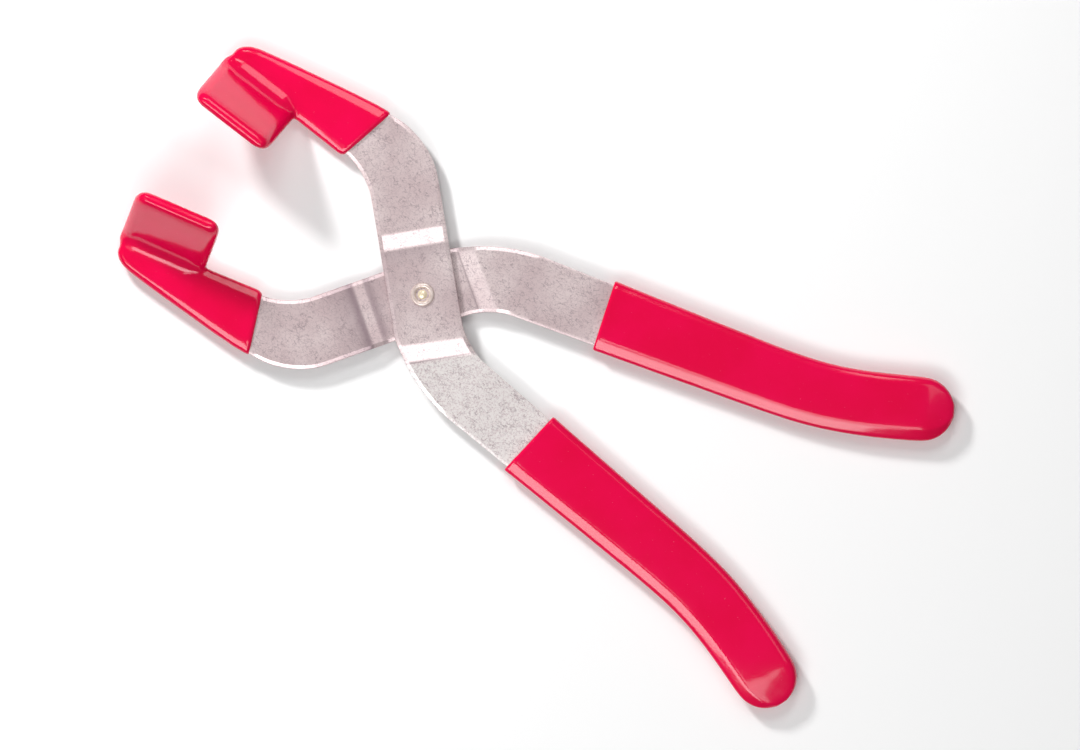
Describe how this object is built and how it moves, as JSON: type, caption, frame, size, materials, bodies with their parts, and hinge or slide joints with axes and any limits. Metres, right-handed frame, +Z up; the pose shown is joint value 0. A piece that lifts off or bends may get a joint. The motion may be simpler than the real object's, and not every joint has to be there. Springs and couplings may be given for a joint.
{
  "type": "lug nut cover pliers",
  "caption": "Long-handled flat steel pliers with dipped vinyl grips and upturned dipped jaw tabs, for pulling wheel nut covers.",
  "frame": {"origin": "on the rivet's axis, at the underside of the rivet's flat head", "axes": "+X from the rivet to the handles along the tool's centreline, +Y to the side of the upper jaw, +Z up along the rivet, the way the jaws' tabs stand"},
  "size_m": [0.3142, 0.1446, 0.0342],
  "materials": {
    "arm_steel": "tumbled sheet steel with a fine grey mottle and light scratches",
    "rivet_steel": "smooth steel with a faint brassy plating",
    "red_vinyl": "glossy dipped vinyl"
  },
  "bodies": {
    "lower_half": {"bottom_arm": "arm_steel", "rivet": "rivet_steel", "bottom_arm_grip": "red_vinyl", "bottom_jaw_sleeve": "red_vinyl"},
    "upper_half": {"top_arm": "arm_steel", "top_arm_grip": "red_vinyl", "top_jaw_sleeve": "red_vinyl"}
  },
  "joints": [
    {"name": "pivot", "type": "hinge", "parent": "lower_half", "child": "upper_half", "pos_m": [0, 0, 0.00485], "axis": [0, 0, 1], "range_deg": [-10, 19.5]}
  ]
}
